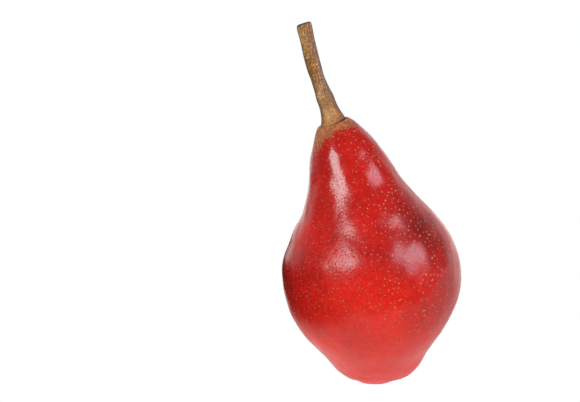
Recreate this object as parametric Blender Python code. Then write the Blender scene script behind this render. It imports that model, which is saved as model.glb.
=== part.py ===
"""A ripe red pear at its real size, standing on its calyx end.

It has three pieces. The fruit is one solid body with a basin below and a socket on top. The woody stem
stands in the socket, and the dried calyx hangs in the basin. Lengths are in metres, +Z is up, and the fruit
stands on z = 0 with its box centred on the origin. Azimuths are in degrees, counted from +X towards +Y.
"""
import math
from typing import NamedTuple

import bpy
import numpy as np

MM = 0.001

# Driving dimensions
FLESH_HEIGHT = 97.5 * MM          # along the spine, from the floor to the lip round the stem
CALYX_CLEARANCE = 0.5 * MM        # between the basin's floor and the calyx's disc
FRUIT_SIDES = 80
FRUIT_ROW_SPACING = 3.2 * MM

# The fruit's spine, a quartic Bezier curve over its height: the neck leans to the left and the back
SPINE_X = np.array([1.09, 1.09, -0.96, -4.82, -14.58]) * MM
SPINE_Y = np.array([0.20, 0.20, -2.79, 2.07, 3.75]) * MM

# The stem's centre line is a cubic Bezier curve from the socket to the cut end
STEM_PATH = np.array([(-14.05, 3.48, 95.85), (-15.9, 4.2, 103.2), (-22.4, 5.9, 115.3), (-25.3, 8.3, 133.15)])
STEM_PATH *= MM
STEM_DEPTH = 1.7 * MM             # how deep the foot's end lies below the lip
STEM_SHANK_RADIUS = 2.73 * MM
STEM_FLARE = 1.75 * MM            # how much wider the foot is than the shank
STEM_FLARE_LENGTH = 5.2 * MM
STEM_FLARE_POWER = 1.3            # above 1, so the flare ends in a rounder shoulder
STEM_FOOT_RADIUS = 4.1 * MM       # of the foot's end, inside the socket
STEM_FOOT_CHAMFER = 0.5 * MM
STEM_END_ROUNDING = 0.35 * MM
KNOT_DISTANCE = 9.5 * MM          # from the lip to a slight knot
KNOT_LENGTH = 2.2 * MM
KNOT_HEIGHT = 0.3 * MM
STEM_FOOT_SLOPE = 0.22            # the foot's end rises to the right, as the socket's floor does
STEM_CUT_SLOPE_X = 0.12           # the cut end rises to the right and falls away to the back
STEM_CUT_SLOPE_Y = -0.1
FOOT_SLOPE_REACH = 4.0 * MM       # how far up the stem the slope of the foot's end still shows
CUT_SLOPE_REACH = 2.5 * MM
STEM_SIDES = 20
STEM_ROWS = 24

# A sepal's centre line as a cubic Bezier curve: distance outwards, sideways, and down into the open basin
SEPAL_PATH = np.array([(1.0, 0.0, 0.4), (3.6, 0.0, 0.8), (5.0, 0.0, 2.9), (3.0, 0.0, 3.6)]) * MM
SEPAL_LENGTHS = (1.0, 0.86, 1.04, 0.78, 0.94)   # each sepal's share of the full length
SEPAL_WIDTH = 2.8 * MM
SEPAL_THICKNESS = 0.6 * MM
SEPAL_CUP = 0.35 * MM             # how far a sepal's edges curl in at its root
SEPAL_TIP_TAPER = 0.75            # how much narrower the tip is than the root
SEPAL_TAPER_POWER = 1.5
FIRST_SEPAL_AZIMUTH = 58.0
CALYX_DISC = ((2.0, 0.0), (2.3, 0.3), (2.2, 0.8), (1.6, 1.1))   # radius and depth of rings, in millimetres
STAMENS = 9
STAMEN_RING_RADIUS = 1.5 * MM
STAMEN_LENGTH = 2.0 * MM          # of the longest
STAMEN_LENGTH_RANGE = 0.5         # how much shorter the shortest is, as a share
STAMEN_SPLAY = 0.5                # how far a tip stands out past its root, as a share of its distance
STAMEN_RADIUS = 0.27 * MM
STAMEN_ROOT_DEPTH = 0.6 * MM
GOLDEN_ANGLE = 137.5

# Finishes
SKIN_COLOUR = (0.52, 0.028, 0.02)
SKIN_ROUGHNESS = 0.3
STEM_COLOUR = (0.33, 0.19, 0.085)
STEM_ROUGHNESS = 0.6
CALYX_COLOUR = (0.035, 0.022, 0.014)
CALYX_ROUGHNESS = 0.75


class Station(NamedTuple):
    """One point of the fruit's turned outline, and how strongly the swells and the folds act there."""

    radius: float
    height: float
    swell: float
    fold: float


BASIN_DEPTH = 5.0 * MM
SOCKET_FLOOR = FLESH_HEIGHT - 2.3 * MM

# From the middle of the basin over the rim, up the flank and neck, over the lip and down into the socket
OUTLINE = (
    Station(0.0, BASIN_DEPTH, 0.0, 0.0),
    Station(2.7 * MM, 4.8 * MM, 0.0, 0.0),
    Station(4.5 * MM, 3.2 * MM, 0.0, 0.35),
    Station(5.2 * MM, 1.2 * MM, 0.1, 0.8),
    Station(6.2 * MM, -0.4 * MM, 0.5, 1.0),
    Station(8.0 * MM, -0.8 * MM, 1.0, 1.0),
    Station(12.5 * MM, 1.6 * MM, 1.0, 0.42),
    Station(16.4 * MM, 5.9 * MM, 1.0, 0.2),
    Station(22.0 * MM, 12.9 * MM, 1.0, 0.08),
    Station(27.5 * MM, 20.7 * MM, 1.0, 0.02),
    Station(32.0 * MM, 31.6 * MM, 1.0, 0.0),
    Station(32.6 * MM, 41.8 * MM, 1.0, 0.0),
    Station(30.6 * MM, 51.9 * MM, 1.0, 0.0),
    Station(23.4 * MM, 62.4 * MM, 1.0, 0.0),
    Station(18.3 * MM, 72.9 * MM, 1.0, 0.0),
    Station(14.0 * MM, 83.3 * MM, 1.0, 0.0),
    Station(10.3 * MM, 91.3 * MM, 1.0, 0.0),
    Station(6.8 * MM, 96.4 * MM, 1.0, 0.0),
    Station(5.5 * MM, FLESH_HEIGHT, 0.8, 0.0),
    Station(4.8 * MM, FLESH_HEIGHT - 0.6 * MM, 0.0, 0.0),
    Station(4.7 * MM, SOCKET_FLOOR + 0.3 * MM, 0.0, 0.0),
    Station(4.0 * MM, SOCKET_FLOOR, 0.0, 0.0),
    Station(0.0, SOCKET_FLOOR, 0.0, 0.0),
)


class Swell(NamedTuple):
    """A broad bulge (positive amount) or hollow (negative) in the flesh, bell-shaped both ways."""

    azimuth: float
    height: float
    spread_azimuth: float
    spread_height: float
    amount: float


SWELLS = (
    Swell(0, 40 * MM, 50, 13 * MM, 1.75 * MM),       # right cheek
    Swell(180, 34 * MM, 50, 11 * MM, -0.8 * MM),     # flatter left cheek
    Swell(180, 54.3 * MM, 40, 4.5 * MM, -0.51 * MM),
    Swell(180, 61.1 * MM, 40, 4.5 * MM, 1.09 * MM),  # left shoulder
    Swell(180, 69.4 * MM, 40, 4.5 * MM, 0.05 * MM),
    Swell(0, 60.7 * MM, 45, 5 * MM, 1.02 * MM),        # right shoulder
    Swell(0, 73.3 * MM, 45, 5 * MM, -0.35 * MM),       # waist on the right
    Swell(180, 86.8 * MM, 60, 7 * MM, 0.6 * MM),
    Swell(180, 92.1 * MM, 50, 3.5 * MM, -0.13 * MM),
    Swell(180, 97.0 * MM, 45, 1.6 * MM, 0.39 * MM),
    Swell(0, 93.6 * MM, 50, 5 * MM, -0.31 * MM),
    Swell(180, 12 * MM, 50, 7 * MM, -0.58 * MM),
    Swell(350, 5 * MM, 46, 5 * MM, 1.7 * MM),        # right lobe of the base
    Swell(100, 38 * MM, 60, 15 * MM, 0.7 * MM),      # back
    Swell(75, 66 * MM, 45, 9 * MM, -0.6 * MM),
    Swell(130, 20 * MM, 40, 9 * MM, -0.5 * MM),
    Swell(268, 64 * MM, 34, 6.5 * MM, 1.25 * MM),    # front shoulder
    Swell(302, 64 * MM, 34, 6.5 * MM, 0.6 * MM),
    Swell(245, 56 * MM, 34, 7 * MM, 0.95 * MM),
    Swell(235, 45 * MM, 34, 9 * MM, -0.6 * MM),      # flatter cheeks below it
    Swell(302, 45 * MM, 34, 9 * MM, -0.5 * MM),
    Swell(250, 88 * MM, 34, 7 * MM, 0.7 * MM),
    Swell(235, 72 * MM, 34, 7 * MM, 0.35 * MM),
    Swell(0, 82 * MM, 45, 5 * MM, -0.11 * MM),
    Swell(0, 67 * MM, 45, 4 * MM, 0.2 * MM),
    Swell(180, 79 * MM, 45, 5 * MM, -0.18 * MM),
)


class Fold(NamedTuple):
    """A groove that runs out from the basin between two of the five lobes."""

    azimuth: float
    depth: float


FOLDS = (
    Fold(22, 1.1 * MM),
    Fold(95, 1.4 * MM),
    Fold(165, 1.0 * MM),
    Fold(232, 0.6 * MM),
    Fold(310, 0.65 * MM),
)
FOLD_SPREAD = 12.0                # half-width of a groove, in degrees


def clear_scene() -> None:
    """Remove every object that the scene starts with."""
    for obj in list(bpy.data.objects):
        bpy.data.objects.remove(obj, do_unlink=True)


def make_material(name: str, colour: tuple, roughness: float) -> bpy.types.Material:
    """Return a plain non-metal finish."""
    material = bpy.data.materials.new(name)
    material.use_nodes = True
    shader = material.node_tree.nodes["Principled BSDF"]
    shader.inputs["Base Color"].default_value = (*colour, 1.0)
    shader.inputs["Roughness"].default_value = roughness
    shader.inputs["Metallic"].default_value = 0.0
    return material


def smooth_curve(stations: np.ndarray, spacing: float) -> np.ndarray:
    """Pass a smooth curve through stations, whose first two columns are lengths, at about this spacing."""
    chord = np.linalg.norm(np.diff(stations[:, :2], axis=0), axis=1)[:, None]
    slope = np.diff(stations, axis=0) / chord
    inner = (slope[:-1] * chord[1:] + slope[1:] * chord[:-1]) / (chord[:-1] + chord[1:])
    tangent = np.vstack([slope[:1], inner, slope[-1:]])
    pieces = []
    for i in range(len(chord)):
        count = max(1, round(chord[i, 0] / spacing))
        t = np.linspace(0.0, 1.0, count, endpoint=False)[:, None]
        start_weight = 2 * t ** 3 - 3 * t ** 2 + 1
        pieces.append(start_weight * stations[i] + (1 - start_weight) * stations[i + 1]
                      + (t ** 3 - 2 * t ** 2 + t) * chord[i] * tangent[i]
                      + (t ** 3 - t ** 2) * chord[i] * tangent[i + 1])
    pieces.append(stations[-1:])
    return np.vstack(pieces)


def bezier(controls: np.ndarray, t: np.ndarray) -> tuple[np.ndarray, np.ndarray]:
    """Return a Bezier curve of any degree and its derivative at each t."""
    degree = len(controls) - 1
    value = sum(math.comb(degree, i) * t ** i * (1 - t) ** (degree - i) * controls[i]
                for i in range(degree + 1))
    step = np.diff(controls, axis=0) * degree
    rate = sum(math.comb(degree - 1, i) * t ** i * (1 - t) ** (degree - 1 - i) * step[i]
               for i in range(degree))
    return value, rate


def frames_along(tangent: np.ndarray) -> tuple[np.ndarray, np.ndarray, np.ndarray]:
    """Return unit tangents and two unit directions square to each, the first one nearest to +X."""
    along = tangent / np.linalg.norm(tangent, axis=-1, keepdims=True)
    across = np.array([1.0, 0.0, 0.0]) - along * along[..., :1]
    across /= np.linalg.norm(across, axis=-1, keepdims=True)
    return along, across, np.cross(along, across)


def angle_from(azimuth: np.ndarray, centre: float) -> np.ndarray:
    """Return how far each azimuth is from a centre, in degrees, the short way round."""
    return (azimuth - centre + 180.0) % 360.0 - 180.0


def fruit_relief(azimuth: np.ndarray, height: np.ndarray, swell: np.ndarray, fold: np.ndarray,
                 ) -> np.ndarray:
    """Return how far the flesh stands out from its turned outline: the swells, less the folds."""
    relief = np.zeros(np.broadcast(azimuth, height).shape)
    for bulge in SWELLS:
        sideways = angle_from(azimuth, bulge.azimuth) / bulge.spread_azimuth
        upward = (height - bulge.height) / bulge.spread_height
        relief += bulge.amount * swell * np.exp(-sideways ** 2 - upward ** 2)
    for groove in FOLDS:
        relief -= groove.depth * fold * np.exp(-(angle_from(azimuth, groove.azimuth) / FOLD_SPREAD) ** 2)
    return relief


def closed_mesh(name: str, rings: np.ndarray, start: np.ndarray, end: np.ndarray) -> bpy.types.Mesh:
    """Join rings of points, each counter-clockwise about the way they advance, and close both ends."""
    rows, sides, _ = rings.shape
    points = np.vstack([rings.reshape(-1, 3), start, end])
    first, last = rows * sides, rows * sides + 1
    faces = []
    for i in range(sides):
        j = (i + 1) % sides
        faces.append((first, j, i))
        faces.append(((rows - 1) * sides + i, (rows - 1) * sides + j, last))
        for row in range(rows - 1):
            low, high = row * sides, (row + 1) * sides
            faces.append((low + i, low + j, high + j, high + i))
    mesh = bpy.data.meshes.new(name)
    mesh.from_pydata(points.tolist(), [], faces)
    mesh.shade_smooth()
    return mesh


def add_object(name: str, mesh: bpy.types.Mesh, material: bpy.types.Material) -> bpy.types.Object:
    """Put a mesh into the scene as an object."""
    obj = bpy.data.objects.new(name, mesh)
    bpy.context.scene.collection.objects.link(obj)
    mesh.materials.clear()
    mesh.materials.append(material)
    return obj


def build_fruit() -> bpy.types.Object:
    """Make the fruit: its outline turned round the bent spine, with swells and folds, flat on the floor."""
    curve = smooth_curve(np.array(OUTLINE), FRUIT_ROW_SPACING)
    radius, height, swell, fold = (curve[:, i:i + 1] for i in range(4))
    swell, fold = np.clip(swell, 0.0, 1.0), np.clip(fold, 0.0, 1.0)
    run = np.gradient(curve[:, :2], axis=0)
    run /= np.linalg.norm(run, axis=1, keepdims=True)
    azimuth = np.arange(FRUIT_SIDES)[None, :] * 360.0 / FRUIT_SIDES

    relief = fruit_relief(azimuth, height, swell, fold)
    radius = radius + run[:, 1:2] * relief
    height = height - run[:, 0:1] * relief

    share = height / FLESH_HEIGHT
    centre_x, lean_x = bezier(SPINE_X, share)
    centre_y, lean_y = bezier(SPINE_Y, share)
    tangent = np.stack([lean_x / FLESH_HEIGHT, lean_y / FLESH_HEIGHT, np.ones_like(share)], axis=-1)
    _, across, over = frames_along(tangent)
    turn = np.radians(azimuth)
    points = np.stack([centre_x, centre_y, height], axis=-1)
    points += (radius * np.cos(turn))[..., None] * across + (radius * np.sin(turn))[..., None] * over
    points[..., 2] = np.maximum(points[..., 2], 0.0)
    mesh = closed_mesh("fruit", points[1:-1], points[0].mean(axis=0), points[-1].mean(axis=0))
    return add_object("fruit", mesh, make_material("fruit", SKIN_COLOUR, SKIN_ROUGHNESS))


def stem_radius(distance: np.ndarray) -> np.ndarray:
    """Return the stem's radius by distance from the lip: a shank with a flared foot and a knot."""
    flare = STEM_FLARE * np.exp(-(np.maximum(distance, 0.0) / STEM_FLARE_LENGTH) ** STEM_FLARE_POWER)
    knot = KNOT_HEIGHT * np.exp(-((distance - KNOT_DISTANCE) / KNOT_LENGTH) ** 2)
    return STEM_SHANK_RADIUS + flare + knot


def build_stem() -> bpy.types.Object:
    """Make the stem: rings along its path, with its foot in the socket and its far end cut at a slant."""
    fine_t = np.linspace(0.0, 1.0, 400)
    fine, _ = bezier(STEM_PATH, fine_t[:, None])
    run = np.concatenate([[0.0], np.cumsum(np.linalg.norm(np.diff(fine, axis=0), axis=1))])
    length = run[-1]
    shank = np.linspace(STEM_DEPTH, length - STEM_END_ROUNDING, STEM_ROWS)
    distance = np.concatenate([[0.0, STEM_FOOT_CHAMFER], shank, [length]])
    centre, rate = bezier(STEM_PATH, np.interp(distance, run, fine_t)[:, None])
    along, across, over = frames_along(rate)

    radius = stem_radius(distance - STEM_DEPTH)
    radius[0] = STEM_FOOT_RADIUS - STEM_FOOT_CHAMFER
    radius[1] = STEM_FOOT_RADIUS
    radius[-1] -= STEM_END_ROUNDING
    turn = np.linspace(0.0, 2 * np.pi, STEM_SIDES, endpoint=False)
    sideways = radius[:, None] * np.cos(turn)
    depthways = radius[:, None] * np.sin(turn)
    near_foot = np.exp(-(distance / FOOT_SLOPE_REACH) ** 2)[:, None]
    near_cut = np.exp(-((length - distance) / CUT_SLOPE_REACH) ** 2)[:, None]
    shear = sideways * (STEM_FOOT_SLOPE * near_foot + STEM_CUT_SLOPE_X * near_cut)
    shear = shear + depthways * STEM_CUT_SLOPE_Y * near_cut
    rings = (centre[:, None] + sideways[..., None] * across[:, None] + depthways[..., None] * over[:, None]
             + shear[..., None] * along[:, None])
    mesh = closed_mesh("stem", rings, centre[0], centre[-1])
    return add_object("stem", mesh, make_material("stem", STEM_COLOUR, STEM_ROUGHNESS))


def sepal_rings(length_share: float) -> np.ndarray:
    """Return the rings of one curled sepal: X runs outwards, Y sideways and Z down the basin."""
    path = SEPAL_PATH[0] + (SEPAL_PATH - SEPAL_PATH[0]) * length_share
    t = np.linspace(0.0, 1.0, 8)[:, None]
    centre, rate = bezier(path, t)
    along = rate / np.linalg.norm(rate, axis=1, keepdims=True)
    side = np.array([0.0, 1.0, 0.0])
    normal = np.cross(along, side)
    half_width = SEPAL_WIDTH / 2 * (1 - SEPAL_TIP_TAPER * t ** SEPAL_TAPER_POWER)
    turn = np.linspace(0.0, 2 * np.pi, 8, endpoint=False)
    cup = SEPAL_CUP * (1 - t)
    rings = centre[:, None] + (half_width * np.cos(turn))[..., None] * side
    rings += (SEPAL_THICKNESS / 2 * np.sin(turn) - cup * np.cos(turn) ** 2)[..., None] * normal[:, None]
    return rings


def stand_in_basin(points: np.ndarray, azimuth: float) -> np.ndarray:
    """Turn points about Z and hang them from the basin's floor, so that their +Z points down."""
    turn = math.radians(azimuth)
    x = points[..., 0] * math.cos(turn) - points[..., 1] * math.sin(turn)
    y = points[..., 0] * math.sin(turn) + points[..., 1] * math.cos(turn)
    z = BASIN_DEPTH - CALYX_CLEARANCE - points[..., 2]
    return np.stack([SPINE_X[0] + x, SPINE_Y[0] + y, z], axis=-1)


def stamen_rings(index: int) -> np.ndarray:
    """Return the rings of one short stamen in its own plane, a little longer or shorter than the next."""
    turn = np.linspace(0.0, 2 * np.pi, 6, endpoint=False)
    section = np.stack([np.cos(turn), np.sin(turn), 0 * turn], axis=-1) * STAMEN_RADIUS
    reach = STAMEN_RING_RADIUS * math.sqrt((index + 0.5) / STAMENS)
    unevenness = (1 - math.cos(math.radians(index * GOLDEN_ANGLE))) / 2
    length = STAMEN_LENGTH * (1 - STAMEN_LENGTH_RANGE * unevenness)
    middles = [(reach * (1 + STAMEN_SPLAY * up), 0.0, STAMEN_ROOT_DEPTH + length * up)
               for up in (0.0, 0.5, 1.0)]
    return np.stack([section + np.array(middle) for middle in middles])


def hung_mesh(name: str, rings: np.ndarray, azimuth: float) -> bpy.types.Mesh:
    """Hang rings from the basin's floor and close them into a mesh."""
    rings = stand_in_basin(rings, azimuth)[:, ::-1]
    return closed_mesh(name, rings, rings[0].mean(axis=0), rings[-1].mean(axis=0))


def build_calyx() -> bpy.types.Object:
    """Make the dried calyx: five curled sepals and a tuft of stamens on a disc, joined into one body."""
    turn = np.linspace(0.0, 2 * np.pi, 20, endpoint=False)
    disc = np.stack([np.stack([radius * np.cos(turn), radius * np.sin(turn), depth + 0 * turn], axis=-1) * MM
                     for radius, depth in CALYX_DISC])
    finish = make_material("calyx", CALYX_COLOUR, CALYX_ROUGHNESS)
    calyx = add_object("calyx", hung_mesh("calyx", disc, 0.0), finish)

    repeats = bpy.data.collections.new("calyx_repeats")
    for i, share in enumerate(SEPAL_LENGTHS):
        azimuth = FIRST_SEPAL_AZIMUTH + i * 360.0 / len(SEPAL_LENGTHS)
        repeats.objects.link(bpy.data.objects.new("sepal", hung_mesh("sepal", sepal_rings(share), azimuth)))
    for i in range(STAMENS):
        mesh = hung_mesh("stamen", stamen_rings(i), i * GOLDEN_ANGLE)
        repeats.objects.link(bpy.data.objects.new("stamen", mesh))

    union = calyx.modifiers.new("join", "BOOLEAN")
    union.operation = "UNION"
    union.operand_type = "COLLECTION"
    union.collection = repeats
    union.solver = "EXACT"
    bpy.context.view_layer.update()
    joined = bpy.data.meshes.new_from_object(calyx.evaluated_get(bpy.context.evaluated_depsgraph_get()))
    calyx.modifiers.clear()
    calyx.data = joined
    for obj in list(repeats.objects):
        bpy.data.objects.remove(obj, do_unlink=True)
    bpy.data.collections.remove(repeats)
    joined.materials.clear()
    joined.materials.append(finish)
    return calyx


def main() -> None:
    """Build the pear."""
    clear_scene()
    build_fruit()
    build_stem()
    build_calyx()


main()
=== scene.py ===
"""The looks of a ripe red pear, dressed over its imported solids.

The skin, the stem and the calyx are whole numpy grids, worked out from the same named sizes as the
solids, only finer. Lengths are in metres unless a docstring says millimetres, +Z is up, and azimuths
are in degrees from +X towards +Y.
"""
import logging
import math
from dataclasses import dataclass
from enum import Enum
from typing import Any, Sequence

import bpy
import numpy as np
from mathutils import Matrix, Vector


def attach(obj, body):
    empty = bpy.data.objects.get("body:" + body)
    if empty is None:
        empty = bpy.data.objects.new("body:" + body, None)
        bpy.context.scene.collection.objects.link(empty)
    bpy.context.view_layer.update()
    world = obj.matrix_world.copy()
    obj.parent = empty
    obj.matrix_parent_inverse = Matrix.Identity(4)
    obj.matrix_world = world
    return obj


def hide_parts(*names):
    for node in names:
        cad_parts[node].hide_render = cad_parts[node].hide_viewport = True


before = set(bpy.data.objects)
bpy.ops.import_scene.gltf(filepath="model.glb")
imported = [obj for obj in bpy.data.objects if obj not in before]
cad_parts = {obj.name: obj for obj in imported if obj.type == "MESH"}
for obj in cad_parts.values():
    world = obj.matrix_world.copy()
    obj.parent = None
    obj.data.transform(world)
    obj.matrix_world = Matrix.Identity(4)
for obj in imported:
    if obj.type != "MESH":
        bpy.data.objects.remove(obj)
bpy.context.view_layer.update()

BODY = "root"
MM = 0.001

Array = np.ndarray
Pair = tuple[float, float]
Triple = tuple[float, float, float]
Colour = Triple

log = logging.getLogger("pear")


# Shapes

def bezier(controls: Array, t: Array) -> tuple[Array, Array]:
    """Work out a Bezier curve of any degree: each control weighted by its Bernstein polynomial in t.

    Args:
        controls: control values, the first axis running along the curve.
        t: places along the curve from 0 to 1, shaped to broadcast against one control.

    Returns:
        The curve's values, and their rate of change with t.
    """
    degree = len(controls) - 1
    value = sum(math.comb(degree, i) * t ** i * (1 - t) ** (degree - i) * controls[i]
                for i in range(degree + 1))
    step = np.diff(controls, axis=0) * degree
    rate = sum(math.comb(degree - 1, i) * t ** i * (1 - t) ** (degree - 1 - i) * step[i]
               for i in range(degree))
    return value, rate


def smooth_curve(stations: Array, spacing: float) -> Array:
    """Pass cubic Hermite pieces through stations, with slopes averaged by chord length.

    Args:
        stations: one row for each station, whose first two columns are lengths.
        spacing: the distance to aim for between the points that come back.

    Returns:
        The curve's points, with the stations' columns.
    """
    chord = np.linalg.norm(np.diff(stations[:, :2], axis=0), axis=1)[:, None]
    slope = np.diff(stations, axis=0) / chord
    inner = (slope[:-1] * chord[1:] + slope[1:] * chord[:-1]) / (chord[:-1] + chord[1:])
    tangent = np.vstack([slope[:1], inner, slope[-1:]])
    pieces = []
    for i in range(len(chord)):
        count = max(1, round(chord[i, 0] / spacing))
        t = np.linspace(0.0, 1.0, count, endpoint=False)[:, None]
        start = 2 * t ** 3 - 3 * t ** 2 + 1
        pieces.append(start * stations[i] + (1 - start) * stations[i + 1]
                      + (t ** 3 - 2 * t ** 2 + t) * chord[i] * tangent[i]
                      + (t ** 3 - t ** 2) * chord[i] * tangent[i + 1])
    pieces.append(stations[-1:])
    return np.vstack(pieces)


def unit(vectors: Array) -> Array:
    """Return vectors at length 1, with X, Y and Z on the last axis."""
    return vectors / np.linalg.norm(vectors, axis=-1, keepdims=True)


def turns(count: int) -> Array:
    """Return this many angles evenly round a circle, in radians."""
    return np.arange(count) * 2 * math.pi / count


def frames_along(tangent: Array) -> tuple[Array, Array, Array]:
    """Work out three unit directions for each tangent.

    Args:
        tangent: directions, with X, Y and Z on the last axis.

    Returns:
        The unit tangent, the unit direction square to it nearest to +X, and their cross product.
    """
    along = unit(tangent)
    across = unit(np.array([1.0, 0.0, 0.0]) - along * along[..., :1])
    return along, across, np.cross(along, across)


def angle_from(azimuth: Array, centre: float) -> Array:
    """Return how far each azimuth is from a centre, in degrees, the short way round."""
    return (azimuth - centre + 180.0) % 360.0 - 180.0


def clamp(value: Array) -> Array:
    """Return the value held between 0 and 1."""
    return np.clip(value, 0.0, 1.0)


def ease(low: float, high: float, value: Array) -> Array:
    """Return 0 below low, 1 above high, and 3t^2 - 2t^3 of the share t between them."""
    t = clamp((value - low) / (high - low))
    return t * t * (3.0 - 2.0 * t)


@dataclass(frozen=True)
class Ripple:
    """Uneven waves: a seeded sum of plane waves in space, so it has no seam anywhere."""

    seed: int
    waves: int
    shortest: float
    longest: float
    height: float
    squeeze: Triple = (1.0, 1.0, 1.0)

    def at(self, points: Array) -> Array:
        """Add up sines of each point's place along random directions, with random phases.

        Args:
            points: places in metres, with X, Y and Z on the last axis.

        Returns:
            The ripple's height at each point.
        """
        rng = np.random.default_rng(self.seed)
        direction = unit(rng.normal(size=(self.waves, 3)))
        length = np.exp(rng.uniform(math.log(self.shortest), math.log(self.longest), self.waves))
        wave = direction * np.array(self.squeeze) * (2 * math.pi / length)[:, None]
        phase = rng.uniform(0.0, 2 * math.pi, self.waves)
        return self.height * np.sin(points @ wave.T + phase).sum(axis=-1) / math.sqrt(self.waves)


def place_object(name: str, data: bpy.types.ID) -> bpy.types.Object:
    """Make an object of a mesh, a light or a camera and put it in the scene."""
    obj = bpy.data.objects.new(name, data)
    bpy.context.scene.collection.objects.link(obj)
    return obj


def new_object(name: str, points: Array, faces: list[Sequence[int]],
               attributes: dict[str, Array] | None = None) -> bpy.types.Object:
    """Make a smooth shaded object at the origin and put it in the scene.

    Args:
        name: its name.
        points: its vertices.
        faces: its faces, as vertex numbers.
        attributes: one value for each vertex, by name.

    Returns:
        The object.
    """
    mesh = bpy.data.meshes.new(name)
    mesh.from_pydata(points.tolist(), [], faces)
    for key, values in (attributes or {}).items():
        mesh.attributes.new(key, "FLOAT", "POINT").data.foreach_set("value", values)
    mesh.shade_smooth()
    return place_object(name, mesh)


def closed_piece(name: str, shells: Sequence[Array], attributes: dict[str, Array]) -> bpy.types.Object:
    """Make one object from grids of rings, each shell closed at both ends on the middle of its end ring.

    Args:
        name: the piece's name.
        shells: arrays of rows by sides by 3, each ring counter-clockwise about the way that rows advance.
        attributes: values for each ring point of all shells in turn; an end takes its ring's mean.

    Returns:
        The object.
    """
    points, faces, values = [], [], {key: [] for key in attributes}
    offset = used = 0
    for rings in shells:
        rows, sides, _ = rings.shape
        grid = offset + np.arange(rows * sides).reshape(rows, sides)
        turned = np.roll(grid, -1, axis=1)
        first, last = offset + rows * sides, offset + rows * sides + 1
        quads = np.stack([grid[:-1], turned[:-1], turned[1:], grid[1:]], axis=-1).reshape(-1, 4)
        start = np.stack([np.full(sides, first), turned[0], grid[0]], axis=-1)
        end = np.stack([grid[-1], turned[-1], np.full(sides, last)], axis=-1)
        faces += quads.tolist() + start.tolist() + end.tolist()
        points += [rings.reshape(-1, 3), rings[0].mean(axis=0)[None], rings[-1].mean(axis=0)[None]]
        for key in values:
            part = attributes[key].reshape(-1)[used:used + rows * sides]
            values[key] += [part, [part[:sides].mean()], [part[-sides:].mean()]]
        offset += rows * sides + 2
        used += rows * sides
    joined = {key: np.concatenate(parts) for key, parts in values.items()}
    return new_object(name, np.vstack(points), faces, joined)


def dress(obj: bpy.types.Object, material: bpy.types.Material, node: str | None) -> None:
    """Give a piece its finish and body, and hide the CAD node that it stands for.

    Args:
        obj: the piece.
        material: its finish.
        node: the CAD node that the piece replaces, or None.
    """
    obj.data.materials.append(material)
    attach(obj, BODY)
    if node:
        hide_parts(node)
    log.info("%s: %d vertices, %d faces", obj.name, len(obj.data.vertices), len(obj.data.polygons))


# Shader maths

class Signal:
    """A shader socket that takes part in arithmetic: each operator adds its Math node."""

    def __init__(self, graph: "Graph", socket: bpy.types.NodeSocket) -> None:
        """Wrap one output socket of a graph."""
        self.graph = graph
        self.socket = socket

    def _math(self, operation: str, first: Any, second: Any = None, clamp: bool = False) -> "Signal":
        """Add a Math node on one or two values and return its output."""
        inputs = {0: first} if second is None else {0: first, 1: second}
        return self.graph.add("ShaderNodeMath", {"operation": operation, "use_clamp": clamp}, inputs)

    def __add__(self, other: Any) -> "Signal":
        """Return this plus other."""
        return self._math("ADD", self, other)

    def __sub__(self, other: Any) -> "Signal":
        """Return this less other."""
        return self._math("SUBTRACT", self, other)

    def __rsub__(self, other: Any) -> "Signal":
        """Return other less this."""
        return self._math("SUBTRACT", other, self)

    def __mul__(self, other: Any) -> "Signal":
        """Return this times other."""
        return self._math("MULTIPLY", self, other)

    __radd__, __rmul__ = __add__, __mul__

    def clamped(self) -> "Signal":
        """Return this held between 0 and 1."""
        return self._math("ADD", self, 0.0, clamp=True)

    def smooth(self, low: float, high: float) -> "Signal":
        """Return a smooth step of this from 0 at low to 1 at high."""
        settings = {"interpolation_type": "SMOOTHSTEP"}
        inputs = {"Value": self, "From Min": low, "From Max": high, "To Min": 0.0, "To Max": 1.0}
        return self.graph.add("ShaderNodeMapRange", settings, inputs)


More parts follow.
